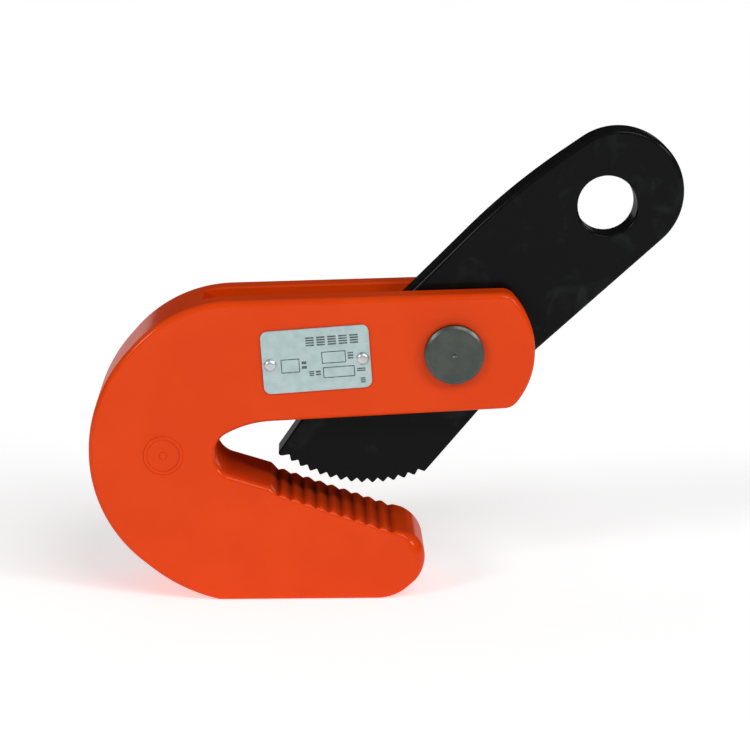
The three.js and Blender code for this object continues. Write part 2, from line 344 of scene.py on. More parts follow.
class Surface:
    """Triangles of one piece, gathered patch by patch with the normals that shade them."""

    def __init__(self) -> None:
        """Starts without triangles."""
        self.corners: list[np.ndarray] = []
        self.shading: list[np.ndarray] = []

    def add_triangles(self, points: np.ndarray, normals: np.ndarray) -> None:
        """Adds triangles, each turned so that it faces the way its normals point.

        Args:
            points: corners, (n, 3, 3).
            normals: normals at the corners, (n, 3, 3).
        """
        facing = np.cross(points[:, 1] - points[:, 0], points[:, 2] - points[:, 0])
        against = np.sum(facing * normals.sum(axis=1), axis=1) < 0
        points[against] = points[against][:, ::-1]
        normals[against] = normals[against][:, ::-1]
        self.corners.append(points)
        self.shading.append(normals)

    def add_grid(self, rows: Rows, closed: bool = False) -> None:
        """Adds a grid of points.

        Args:
            rows: the points and normals.
            closed: whether the last sample of each row joins the first.
        """
        points, normals = rows.points, rows.normals
        if closed:
            points = np.concatenate([points, points[:, :1]], axis=1)
            normals = np.concatenate([normals, normals[:, :1]], axis=1)
        for values in ((0, 0), (0, 1), (1, 1)), ((0, 0), (1, 1), (1, 0)):
            slices = [(slice(i, points.shape[0] - 1 + i), slice(j, points.shape[1] - 1 + j))
                      for i, j in values]
            self.add_triangles(
                np.stack([points[cell] for cell in slices], axis=2).reshape(-1, 3, 3),
                np.stack([normals[cell] for cell in slices], axis=2).reshape(-1, 3, 3))

    def add_face(self, loops: list[np.ndarray], normal: tuple[float, float, float]) -> None:
        """Adds a flat face.

        Args:
            loops: outer loop of points (n, 3), then the loops of its holes.
            normal: unit normal of the face.
        """
        cleaned = [loop[np.linalg.norm(loop - np.roll(loop, 1, axis=0), axis=1) > WELD] for loop in loops]
        triangles = tessellate_polygon([[Vector(point) for point in loop] for loop in cleaned])
        corners = np.vstack(cleaned)[np.array(triangles)]
        self.add_triangles(corners, np.tile(np.array(normal, float), (len(corners), 3, 1)))

    def add_slab(self, outline: Outline, front: float, back: float,
                 holes: tuple[Outline, ...] = ()) -> None:
        """Adds a plate between two values of y (m), with rounded edges and holes right through.

        Args:
            outline: outer outline.
            front: y of the front face.
            back: y of the back face.
            holes: outlines of the holes.
        """
        bands = [edge_rows(edge, front, 1).joined(edge_rows(edge, back, -1)) for edge in (outline, *holes)]
        for band in bands:
            self.add_grid(band, closed=True)
        self.add_face([band.points[0] for band in bands], (0, -1, 0))
        self.add_face([band.points[-1] for band in bands], (0, 1, 0))

    def add_turned(self, profile: Outline, x: float, z: float, closed: bool = False,
                   segments: int = 128) -> None:
        """Adds a profile turned about an axis along Y: (x + r cos a, y, z + r sin a).

        Args:
            profile: outline whose points are (radius, y).
            x: axis in metres.
            z: axis in metres.
            closed: whether the profile closes on itself, as a ring's does.
            segments: number of samples round the axis.
        """
        angles = np.linspace(0, 2 * np.pi, segments, endpoint=False)[None, :, None]
        spokes = np.concatenate([np.cos(angles), np.sin(angles)], axis=-1)
        points, normals = profile.points, profile.normals
        if closed:
            points, normals = np.vstack([points, points[:1]]), np.vstack([normals, normals[:1]])
        turned = in_space(np.array([x, z]) + points[:, None, :1] * spokes, points[:, 1:])
        facing = in_space(normals[:, None, :1] * spokes, normals[:, 1:])
        self.add_grid(Rows(turned, facing), closed=True)

    def mesh(self, name: str) -> bpy.types.Mesh:
        """Makes the mesh, with coinciding points merged and the given normals kept.

        Args:
            name: name of the mesh.

        Returns:
            The mesh.
        """
        points = np.concatenate(self.corners).reshape(-1, 3)
        normals = unit(np.concatenate(self.shading))
        keys = np.round(points / WELD).astype(np.int64)
        _, first, index = np.unique(keys, axis=0, return_index=True, return_inverse=True)
        triangles = index.reshape(-1, 3)
        whole = (triangles != np.roll(triangles, 1, axis=1)).all(axis=1)
        triangles = triangles[whole]
        mesh = bpy.data.meshes.new(name)
        mesh.from_pydata(points[first].tolist(), [], triangles.tolist())
        mesh.polygons.foreach_set("use_smooth", np.ones(len(triangles), bool))
        mesh.normals_split_custom_set(normals[whole].reshape(-1, 3).tolist())
        edges = np.sort(triangles[:, [0, 1, 1, 2, 2, 0]].reshape(-1, 2), axis=1)
        _, uses = np.unique(edges, axis=0, return_counts=True)
        open_edges = int(np.sum(uses != 2))
        if open_edges:
            LOG.warning("%s has %d open edges", name, open_edges)
        return mesh


# ---------------------------------------------------------------------------- materials
def linear(red: int, green: int, blue: int) -> Colour:
    """Linear colour of an sRGB one: c / 12.92 below 0.04045, else ((c + 0.055) / 1.055)^2.4."""
    shares = (value / 255 for value in (red, green, blue))
    return tuple(s / 12.92 if s <= 0.04045 else ((s + 0.055) / 1.055) ** 2.4 for s in shares)


def with_alpha(colour: Colour) -> tuple[float, float, float, float]:
    """Colour as the four numbers that a colour socket holds."""
    return (*colour, 1.0)


class Shader:
    """Node graph of one material, which reads Object coordinates."""

    def __init__(self, name: str, roughness: float, metallic: float = 0.0) -> None:
        """Makes the material.

        Args:
            name: name of the material.
            roughness: roughness of the surface.
            metallic: share of metal.
        """
        self.material = bpy.data.materials.new(name)
        self.material.use_nodes = True
        self.tree = self.material.node_tree
        self.surface = self.tree.nodes["Principled BSDF"]
        self.surface.inputs["Roughness"].default_value = roughness
        self.surface.inputs["Metallic"].default_value = metallic
        self.place = self.node("ShaderNodeTexCoord").outputs["Object"]

    def node(self, kind: str, **settings: object) -> bpy.types.Node:
        """Adds a node of a kind with these settings."""
        made = self.tree.nodes.new(kind)
        for key, value in settings.items():
            setattr(made, key, value)
        return made

    def link(self, source: bpy.types.NodeSocket, target: bpy.types.NodeSocket | str) -> None:
        """Links a socket to another one, or to the shader's socket of that name."""
        self.tree.links.new(source, self.surface.inputs[target] if isinstance(target, str) else target)

    def centred(self, centre: tuple[float, float, float], turn: float = 0.0,
                stretch: tuple[float, float, float] = (1, 1, 1)) -> bpy.types.NodeSocket:
        """Object coordinates from a centre.

        Args:
            centre: the centre in metres.
            turn: angle about Y in radians.
            stretch: how far the pattern is stretched along each axis.

        Returns:
            The socket with the coordinates.
        """
        mapping = self.node("ShaderNodeMapping", vector_type="TEXTURE")
        mapping.inputs["Location"].default_value = centre
        mapping.inputs["Rotation"].default_value = (0, turn, 0)
        mapping.inputs["Scale"].default_value = stretch
        self.link(self.place, mapping.inputs["Vector"])
        return mapping.outputs["Vector"]

    def noise(self, size: float, detail: float = 3.0, place: bpy.types.NodeSocket | None = None,
              distortion: float = 0.0) -> bpy.types.NodeSocket:
        """Noise with patches of about one size.

        Args:
            size: size of the patches in millimetres.
            detail: octaves of finer noise.
            place: coordinates, if not the object's.
            distortion: how far the patches are drawn out.

        Returns:
            The socket with values round 0.5.
        """
        made = self.node("ShaderNodeTexNoise")
        made.inputs["Scale"].default_value = 1 / (size * MM)
        made.inputs["Detail"].default_value = detail
        made.inputs["Distortion"].default_value = distortion
        self.link(place or self.place, made.inputs["Vector"])
        return made.outputs["Fac"]

    def span(self, value: bpy.types.NodeSocket, low: float, high: float, to_low: float = 0.0,
             to_high: float = 1.0) -> bpy.types.NodeSocket:
        """Value between low and high spread smoothly over to_low and to_high."""
        made = self.node("ShaderNodeMapRange", interpolation_type="SMOOTHSTEP")
        for key, number in zip(RANGE_SOCKETS, (low, high, to_low, to_high)):
            made.inputs[key].default_value = number
        self.link(value, made.inputs["Value"])
        return made.outputs["Result"]

    def blend(self, share: bpy.types.NodeSocket, first: Colour | bpy.types.NodeSocket,
              second: Colour) -> bpy.types.NodeSocket:
        """First colour mixed with the second by a share."""
        made = self.node("ShaderNodeMix", data_type="RGBA")
        self.link(share, made.inputs[0])
        if isinstance(first, tuple):
            made.inputs[6].default_value = with_alpha(first)
        else:
            self.link(first, made.inputs[6])
        made.inputs[7].default_value = with_alpha(second)
        return made.outputs[2]

    def varnish(self, weight: float, roughness: float) -> None:
        """Lays a clear gloss over a matt colour.

        Args:
            weight: share of the surface that the gloss covers.
            roughness: roughness of the gloss.
        """
        self.surface.inputs["Specular IOR Level"].default_value = 0.0
        self.surface.inputs["Coat Weight"].default_value = weight
        self.surface.inputs["Coat Roughness"].default_value = roughness

    def uneven(self, value: bpy.types.NodeSocket, roughness: tuple[float, float]) -> None:
        """Sets the roughness, from the first to the second as a value rises from 0.3 to 0.7."""
        self.link(self.span(value, 0.3, 0.7, *roughness), "Roughness")

    def bump(self, height: bpy.types.NodeSocket, depth: float,
             under: bpy.types.NodeSocket | None = None) -> bpy.types.NodeSocket:
        """Normal of a surface that a height moves by up to depth millimetres, over another bump."""
        made = self.node("ShaderNodeBump")
        made.inputs["Distance"].default_value = depth * MM
        self.link(height, made.inputs["Height"])
        if under is not None:
            self.link(under, made.inputs["Normal"])
        return made.outputs["Normal"]


@dataclass(frozen=True)
class PaintFinish:
    """Gloss orange enamel over a forging, darkened and dulled on the jaw's upper side by grime and painted
    shade.
    """

    slot: str = "body_paint"
    colour: Colour = linear(219, 65, 7)
    deep: Colour = linear(215, 62, 6)
    # dark brown of grime and painted shade in the jaw's mouth
    grime: Colour = linear(62, 32, 26)
    roughness: tuple[float, float] = (0.27, 0.33)
    coat: float = 0.30
    coat_roughness: float = 0.12
    matt: float = 0.25                  # share of grime and painted shade at which the gloss is gone

    def material(self) -> bpy.types.Material:
        """Makes the paint: colour drifts over 35 mm, orange peel 1.6 mm wide, and grime with painted shade
        darkens and dulls it.
        """
        shader = Shader(self.slot, self.roughness[0])
        drift = shader.span(shader.noise(35), 0.35, 0.65)
        colour = shader.blend(drift, self.colour, self.deep)
        # share of grime and painted shade from the body's mesh darkens the colour and takes away the gloss
        dirt_and_shade = shader.node("ShaderNodeAttribute", attribute_name="grime").outputs["Fac"]
        shader.link(shader.blend(dirt_and_shade, colour, self.grime), "Base Color")
        shader.uneven(shader.noise(12), self.roughness)
        waves = shader.bump(shader.noise(14, 2), 0.10)
        shader.link(shader.bump(shader.noise(1.6, 1), 0.012, waves), "Normal")
        shader.varnish(self.coat, self.coat_roughness)
        shader.link(shader.span(dirt_and_shade, 0.0, self.matt, self.coat, 0.0), "Coat Weight")
        return shader.material


@dataclass(frozen=True)
class LeverFinish:
    """Semi-gloss black coat on plate steel, with faint grey rub marks."""

    slot: str = "lever_black"
    colour: Colour = linear(13, 13, 14)
    rubbed: Colour = linear(30, 34, 34)
    roughness: tuple[float, float] = (0.30, 0.42)
    coat: float = 0.16
    coat_roughness: float = 0.16

    def material(self) -> bpy.types.Material:
        """Makes the coat: smudges about 18 mm wide, drawn out, over a fine mill-scale grain."""
        shader = Shader(self.slot, self.roughness[0])
        smudge = shader.span(shader.noise(18, 5, distortion=0.6), 0.55, 0.78)
        shader.link(shader.blend(smudge, self.colour, self.rubbed), "Base Color")
        shader.uneven(shader.noise(7, 4), self.roughness)
        shader.varnish(self.coat, self.coat_roughness)
        scale = shader.bump(shader.noise(9, 2), 0.06)
        shader.link(shader.bump(shader.noise(0.9, 2), 0.010, scale), "Normal")
        return shader.material


@dataclass(frozen=True)
class TurnedFinish:
    """Turned metal, with tool rings about the pivot's axis and a thin uneven film on them."""

    slot: str
    colour: Colour
    film: Colour
    roughness: tuple[float, float]
    ring_width: float = 0.35
    ring_depth: float = 0.012

    def material(self, pivot: tuple[float, float, float]) -> bpy.types.Material:
        """Makes the metal: the rings are noise of the distance sqrt(x^2 + z^2) from the axis."""
        shader = Shader(self.slot, self.roughness[0], metallic=1.0)
        centred = shader.centred(pivot)
        across = shader.node("ShaderNodeVectorMath", operation="MULTIPLY")
        across.inputs[1].default_value = (1, 0, 1)
        shader.link(centred, across.inputs[0])
        length = shader.node("ShaderNodeVectorMath", operation="LENGTH")
        shader.link(across.outputs["Vector"], length.inputs[0])
        rings = shader.node("ShaderNodeTexNoise", noise_dimensions="1D")
        rings.inputs["Scale"].default_value = 1 / (self.ring_width * MM)
        shader.link(length.outputs["Value"], rings.inputs["W"])
        film = shader.span(shader.noise(9, 3), 0.3, 0.75)
        shader.link(shader.blend(film, self.colour, self.film), "Base Color")
        shader.uneven(rings.outputs["Fac"], self.roughness)
        shader.link(shader.bump(rings.outputs["Fac"], self.ring_depth), "Normal")
        return shader.material


@dataclass(frozen=True)
class BrushedFinish:
    """Sheet or wire metal with a grain drawn out along one direction."""

    slot: str
    colour: Colour
    worn: Colour
    roughness: tuple[float, float]
    stretch: tuple[float, float, float] = (40.0, 1.0, 1.0)
    grain: float = 0.25
    grain_depth: float = 0.006

    def material(self, centre: tuple[float, float, float], turn: float = 0.0) -> bpy.types.Material:
        """Makes the metal: fine noise stretched along the grain, over cloudy patches."""
        shader = Shader(self.slot, self.roughness[0], metallic=1.0)
        lines = shader.noise(self.grain, 3, shader.centred(centre, turn, self.stretch))
        cloud = shader.span(shader.noise(5, 4), 0.3, 0.75)
        shader.link(shader.blend(cloud, self.colour, self.worn), "Base Color")
        shader.uneven(lines, self.roughness)
        shader.link(shader.bump(lines, self.grain_depth), "Normal")
        return shader.material


@dataclass(frozen=True)
class InkFinish:
    """Dark print on the nameplate, worn thin in places."""

    slot: str = "nameplate_metal"
    colour: Colour = linear(62, 74, 76)
    thin: Colour = linear(112, 126, 128)

    def material(self) -> bpy.types.Material:
        """Makes the ink: it thins in patches of about 1.5 mm."""
        shader = Shader("nameplate_print", 0.55)
        worn = shader.span(shader.noise(1.5, 3), 0.45, 0.75)
        shader.link(shader.blend(worn, self.colour, self.thin), "Base Color")
        shader.link(shader.bump(shader.noise(0.3, 2), 0.004), "Normal")
        return shader.material


PIN_STEEL = TurnedFinish("pin_oxide", linear(88, 93, 88), linear(77, 83, 79), (0.27, 0.46))
BRONZE = TurnedFinish("bush_bronze", linear(176, 138, 78), linear(140, 104, 56), (0.3, 0.45))
ZINC_WASHER = TurnedFinish("zinc_steel", linear(196, 199, 203), linear(168, 172, 176), (0.26, 0.4),
                           ring_width=0.5)
ZINC_WIRE = BrushedFinish("zinc_steel", linear(200, 203, 207), linear(166, 170, 174), (0.28, 0.42),
                          stretch=(1.0, 1.0, 12.0), grain=0.4)
PLATE_METAL = BrushedFinish("nameplate_metal", linear(193, 213, 213), linear(180, 200, 201), (0.36, 0.56),
                            grain_depth=0.012)
RIVET_METAL = BrushedFinish("rivet_metal", linear(206, 211, 213), linear(176, 181, 184), (0.3, 0.42),
                            stretch=(1.0, 1.0, 1.0), grain=0.6)


# ---------------------------------------------------------------------------- pieces
class Body(Enum):
    """CAD bodies that pieces ride on."""

    CLAMP = "clamp"
    LEVER = "lever"
    PIN = "pin"


def make_piece(mesh: bpy.types.Mesh, material: bpy.types.Material, body: Body, slot: str,
               *stands_for: str) -> bpy.types.Object:
    """Makes the object of a mesh, dresses it and puts it on its body.

    Args:
        mesh: the finished mesh, whose name the piece takes.
        material: its material.
        body: the body that it rides on.
        slot: the record's material slot; not used.
        stands_for: CAD nodes that it replaces.

    Returns:
        The object.
    """
    piece = bpy.data.objects.new(mesh.name, mesh)
    bpy.context.scene.collection.objects.link(piece)
    mesh.materials.append(material)
    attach(piece, body.value)
    if stands_for:
        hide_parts(*stands_for)
    LOG.info("%s: %d triangles on %s", piece.name, len(mesh.polygons), body.value)
    return piece


@dataclass
class Place:
    """Places that the frame gives, in metres."""

    pivot: tuple[float, float, float]
    eye: tuple[float, float]
    half_body: float
    half_lever: float

    def pivot_mm(self) -> tuple[float, float]:
        """Pivot's axis (x, z) in millimetres."""
        return self.pivot[0] / MM, self.pivot[2] / MM

    @classmethod
    def of(cls, frame: dict) -> "Place":
        """Reads the pivot from the joint, the eye from its opening and thicknesses from the boxes."""
        pivot = next(joint["pos_m"] for joint in frame["joints"] if joint["name"] == "lever_pivot")
        openings = frame["record"]["physics"]["openings"]
        low, high = next(opening["box_m"] for opening in openings if opening["name"] == "lifting_eye")
        return cls(tuple(pivot), ((low[0] + high[0]) / 2, (low[2] + high[2]) / 2),
                   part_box("clamp_body")[1].y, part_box("cam_lever")[1].y)


@dataclass
class ClampBody:
    """Forged C-shaped body with a toothed lower jaw and a slot for the lever."""

    place: Place
    slot_half: float = 12.0
    bore: float = 13.3
    bore_edge: float = 0.8
    general_edge: float = 3.3
    nose: tuple[float, float, float] = (52.4, 22.0, 16.0)   # round end of the jaw: centre and radius
    nose_turn: tuple[float, float] = (-48.0, 74.2)
    nose_swell: float = 6.2             # how much larger the edge's radius gets round the nose
    slot_edge: float = 1.1
    slot_taper: float = 14.0            # length over which the slot's edge rounding fades out
    slot_root: tuple[tuple[float, float], tuple[float, float]] = ((-53.0, 176.0), (-38.6, 91.5))
    slot_floor: float = 85.0            # the slot is above this height
    crest: tuple[float, float] = (-8.6, 59.75)
    slope: float = -19.1
    pitch: float = 7.19
    tooth_depth: float = 1.9
    teeth: int = 10
    valley: float = 0.66                # where a valley lies between two crests
    tooth_round: float = 0.7
    grime_shade_fades: tuple[float, float] = (24.0, 5.0)  # distance from front and rear face to full grime and painted shade, which is dark sooner at the rear
    grime_shade_climb: float = 14.0           # height above the tooth tips where the grime and painted shade end
    # share of grime and painted shade on the jaw, fading towards the nose and upward
    grime_shade_film: float = 0.55
    # grime and painted shade in the tooth roots, growing with their depth
    root_grime_shade: float = 0.45
    mark_place: tuple[float, float] = (-73 * MM, 82 * MM)
    mark_rings: tuple[tuple[float, float], ...] = ((8.6, 10.8), (0.0, 2.2))     # inner and outer radius
    mark_rise: float = 0.75
    mark_sink: float = 0.2              # how far the mark reaches into the body
    finish: PaintFinish = PaintFinish()

    def jaw_teeth(self) -> list[Corner]:
        """Crest and valley corners from the nose to the throat, along the sloping jaw."""
        along, up = compass(self.slope), compass(self.slope + 90)
        corners = []
        for k in reversed(range(self.teeth)):
            crest = np.array(self.crest) + along * k * self.pitch
            valley = crest + along * (self.valley - 1) * self.pitch - up * self.tooth_depth
            heading = None if k == self.teeth - 1 else self.slope + 90
            corners.append(Corner(*crest, self.tooth_round, self.general_edge, 0.0, heading))
            corners.append(Corner(*valley, self.tooth_round, self.general_edge, self.tooth_depth,
                                  self.slope + 90))
        return corners

    def outline(self) -> Outline:
        """Outline of the whole body, counter-clockwise from the underside of the arm."""
        edge = self.general_edge
        return self.swollen(rounded([
            Corner(-26.8, 99.4, 56, edge), Corner(115.0, 106.4, 9, edge), Corner(126.7, 122.2, 43.5, edge),
            Corner(126.7, 153.9, 43.5, edge), Corner(113.1, 169.8, 9, edge), Corner(-67.7, 165.3, 73, edge),
            Corner(-113.1, 113.8, 82, edge), Corner(-113.1, 45.0, 78, edge), Corner(-64.6, 5.7, 90, edge),
            Corner(-43.8, 0, 12, edge), Corner(51.9, 0, 25, edge),
            *wrap(*self.nose, *self.nose_turn, 3, edge), *self.jaw_teeth(),
            Corner(-15.6, 63.7, 1.5, edge), Corner(-44.7, 72.8, 12.4, edge),
            Corner(-46.2, 89.5, 12.4, edge)]))

    def swollen(self, outline: Outline) -> Outline:
        """Outline whose edge's radius grows round the nose by swell sin(pi u), u from 0 to 1 round it."""
        off = outline.points / MM - np.array(self.nose[:2])
        start, end = np.radians(self.nose_turn)
        share = (np.arctan2(off[:, 1], off[:, 0]) - start) / (end - start)
        round_nose = (np.linalg.norm(off, axis=1) < self.nose[2] + NEAR) & (share > 0) & (share < 1)
        rows = outline.rows.copy()
        rows[:, 6] += np.where(round_nose, self.nose_swell * MM * np.sin(np.pi * share), 0.0)
        return Outline(rows)

    def split(self, outline: Outline) -> tuple[Outline, Outline]:
        """Cuts the outline where the slot's root meets it.

        Args:
            outline: outline of the whole body.

        Returns:
            The slotted part, from the underside to the top of the arm, and the solid part.
        """
        root = np.array(self.slot_root) * MM
        way = root[1] - root[0]
        off = outline.points - root[0]
        side = way[0] * off[:, 1] - way[1] * off[:, 0]
        slotted = (side > 0) & (outline.points[:, 1] > self.slot_floor * MM)
        first = int(np.flatnonzero(slotted & ~np.roll(slotted, 1))[0])
        rows, side = np.roll(outline.rows, -first, axis=0), np.roll(side, -first)
        count = int(slotted.sum())

        def crossing(i: int, j: int) -> np.ndarray:
            """Row where the line between two samples meets the root, as a share of their distances."""
            row = rows[i] + (rows[j] - rows[i]) * side[i] / (side[i] - side[j])
            row[2:4], row[4:6] = unit(row[2:4]), unit(row[4:6])
            return row

        under, top = crossing(-1, 0), crossing(count - 1, count)
        return (Outline(np.vstack([under, rows[:count], top])),
                Outline(np.vstack([top, rows[count:], under])))

    def slot_edges(self, slotted: Outline) -> np.ndarray:
        """Radius of the slot's edges, which fades to nothing by sin over a length at both ends."""
        steps = np.linalg.norm(np.diff(slotted.points, axis=0), axis=1)
        run = np.concatenate([[0], np.cumsum(steps)])
        near = np.clip(np.minimum(run, run[-1] - run) / (self.slot_taper * MM), 0, 1)
        return self.slot_edge * MM * np.sin(near * np.pi / 2)

    def surface(self) -> Surface:
        """Gathers the solid part, two cheeks, the slot's root wall and the bore."""
        made = Surface()
        half, slot = self.place.half_body, self.slot_half * MM
        slotted, solid = self.split(self.outline())
        outer = edge_rows(solid, -half, 1).joined(edge_rows(solid, half, -1))
        middle = len(outer.points) // 2
        walls = [in_space(solid.points, y) for y in (-slot, slot)]
        made.add_grid(Rows(np.insert(outer.points, [middle, middle], walls, axis=0),
                           np.insert(outer.normals, [middle, middle], outer.normals[middle], axis=0)))
        edges = self.slot_edges(slotted)
        bore = ring(*self.place.pivot_mm(), self.bore, self.bore_edge, hole=True)
        ends = slotted.points[[0, -1]]
        root = in_space(np.stack([ends, ends]), np.array([[-slot], [slot]]))
        away = -right_of(unit(root[0, 0, [0, 2]] - root[0, 1, [0, 2]]))
        made.add_grid(Rows(root, np.broadcast_to(in_space(away, np.array(0.0)), root.shape).copy()))
        for side in (-1, 1):
            face, inner = side * half, side * slot
            cheek = edge_rows(slotted, face, -side).joined(edge_rows(slotted, inner, side, edges))
            made.add_grid(cheek)
            hole = edge_rows(bore, face, -side).joined(edge_rows(bore, inner, side))
            made.add_grid(hole, closed=True)
            whole = np.vstack([cheek.points[0], edge_rows(solid, face, -side).points[0][1:-1]])
            made.add_face([whole, hole.points[0]], (0, side, 0))
            made.add_face([cheek.points[-1], hole.points[-1]], (0, -side, 0))
        return made

    def grime(self, mesh: bpy.types.Mesh) -> None:
        """Stores how much grime and painted shade each vertex of the jaw's upper side holds.

        With d the depth below the line of the tooth tips, h the height above it, a the distance from the
        first tip towards the nose, L the length of the toothed part and i rising from 0 at a side face to
        1, the share is i (film (1 - a / 2L) (1 - h / climb) + roots (d / tooth depth)^2).

        Args:
            mesh: mesh of the body, which gets the attribute of grime and painted shade.
        """
        places = np.empty(len(mesh.vertices) * 3)
        mesh.vertices.foreach_get("co", places)
        places = places.reshape(-1, 3) / MM
        half, (front, rear) = self.place.half_body / MM, self.grime_shade_fades
        inside = np.clip(np.minimum((half + places[:, 1]) / front, (half - places[:, 1]) / rear), 0, 1)
        offset = places[:, [0, 2]] - np.array(self.crest)
        along, above = offset @ compass(self.slope), offset @ compass(self.slope + 90)
        length = self.pitch * self.teeth
        # film of grime and painted shade: darkest near the throat, less towards the nose and higher up
        film = self.grime_shade_film * np.clip(1 - along / (2 * length), 0, 1)
        film = film * np.clip(1 - np.maximum(above, 0) / self.grime_shade_climb, 0, 1)
        # grime and painted shade in the tooth roots
        roots = self.root_grime_shade * np.clip(-above / self.tooth_depth, 0, 1) ** 2
        on_jaw = (along > -length) & (along < length) & (above > -2 * self.tooth_depth)
        values = np.where(on_jaw, inside * (film + roots), 0.0)
        mesh.attributes.new("grime", "FLOAT", "POINT").data.foreach_set("value", values)

    def build(self) -> None:
        """Makes the body and its cast mark."""
        mesh = self.surface().mesh("forged_body")
        # paints grime and shade into the jaw's mouth
        self.grime(mesh)
        paint = self.finish.material()
        make_piece(mesh, paint, Body.CLAMP, self.finish.slot, "clamp_body")
        self.mark(paint)

    def mark(self, paint: bpy.types.Material) -> None:
        """Makes the blank cast mark on the front: a low soft ring with a pip in its middle."""
        made = Surface()
        face = -self.place.half_body / MM
        bottom, top = face + self.mark_sink, face - self.mark_rise
        for inner, outer in self.mark_rings:
            within = [Corner(inner, bottom), Corner(inner + 0.3, top, 0.5)]
            if inner == 0:
                within = [Corner(0, bottom), Corner(0, top)]
            profile = rounded([*within, Corner(outer - 0.5, top, 0.5), Corner(outer, face, 0.4),
                               Corner(outer, bottom)])
            made.add_turned(profile, *self.mark_place, closed=True, segments=96)
        make_piece(made.mesh("cast_mark"), paint, Body.CLAMP, self.finish.slot)


@dataclass
class CamLever:
    """Black lever plate: toothed cam at one end and the lifting eye at the other."""

    place: Place
    cam: tuple[float, float] = (37.9, 137.9)
    cam_radius: float = 77.2
    tooth_depth: float = 2.8
    first: float = 232.4
    pitch: float = 4.357
    teeth: int = 15
    tooth_round: float = 0.6
    tooth_edge: float = 1.1
    general_edge: float = 2.8
    eye_radius: float = 16.0
    eye_edge: float = 1.4
    head: tuple[float, float, float] = (172.9, 220.4, 34.2)
    head_turn: tuple[float, float] = (-48.0, 125.0)
    bore: float = 16.8
    bore_edge: float = 0.3
    finish: LeverFinish = LeverFinish()

    def cam_teeth(self) -> list[Corner]:
        """Valley and crest corners at centre + r (cos a, sin a), from the tip to the lower edge."""
        corners = []
        for k in range(1, self.teeth):
            angle = self.first + self.pitch * k
            valley_angle = angle - self.pitch / 2
            valley = np.array(self.cam) + (self.cam_radius - self.tooth_depth) * compass(valley_angle)
            crest = np.array(self.cam) + self.cam_radius * compass(angle)
            corners.append(Corner(*valley, self.tooth_round, self.tooth_edge, self.tooth_depth,
                                  valley_angle))
            corners.append(Corner(*crest, self.tooth_round, self.tooth_edge, 0.0,
                                  None if k == self.teeth - 1 else angle))
        return corners

    def outline(self) -> Outline:
        """Outline of the lever, counter-clockwise from the tip of the cam."""
        edge = self.general_edge
        return rounded([
            Corner(-12.9, 75.9, 1.5, self.tooth_edge), *self.cam_teeth(), Corner(119.5, 126.3, 180, edge),
            *wrap(*self.head, *self.head_turn, 3, edge), Corner(115.4, 222.8, 350, edge),
            Corner(28.7, 136.6, 200, edge)])

    def build(self) -> None:
        """Makes the lever."""
        made = Surface()
        x, z = self.place.eye
        eye = ring(x / MM, z / MM, self.eye_radius, self.eye_edge, hole=True)
        bore = ring(*self.place.pivot_mm(), self.bore, self.bore_edge, hole=True)
        made.add_slab(self.outline(), -self.place.half_lever, self.place.half_lever, (eye, bore))
        make_piece(made.mesh("lever_plate"), self.finish.material(), Body.LEVER, self.finish.slot,
                   "cam_lever")


def flat_ring(name: str, node: str, inner: float, edge: float, place: Place) -> bpy.types.Mesh:
    """Ring about the pivot, as wide and thick as the box of a CAD node.

    Args:
        name: name of the mesh.
        node: the CAD node.
        inner: radius of the hole in millimetres.
        edge: radius of its edges in millimetres.
        place: places that the frame gives.

    Returns:
        The mesh.
    """
    low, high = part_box(node)
    outer, front, back = (high.x - low.x) / 2 / MM, low.y / MM, high.y / MM
    corners = [Corner(inner, front, edge), Corner(outer, front, edge), Corner(outer, back, edge),
               Corner(inner, back, edge)]
    made = Surface()
    made.add_turned(rounded(corners), place.pivot[0], place.pivot[2], closed=True)
    return made.mesh(name)


@dataclass
class Bearing:
    """Bush in the lever and the thin washers on both sides of it."""

    place: Place
    inner: float = 13.3
    edge: float = 0.25
    rings: tuple[tuple[str, str, TurnedFinish], ...] = (
        ("lever_bushing", "lever_bush", BRONZE), ("lever_washer_front", "thrust_washer_front", ZINC_WASHER),
        ("lever_washer_rear", "thrust_washer_rear", ZINC_WASHER))

    def build(self) -> None:
        """Makes the bush and the two washers."""
        for name, node, finish in self.rings:
            make_piece(flat_ring(name, node, self.inner, self.edge, self.place),
                       finish.material(self.place.pivot), Body.LEVER, finish.slot, node)


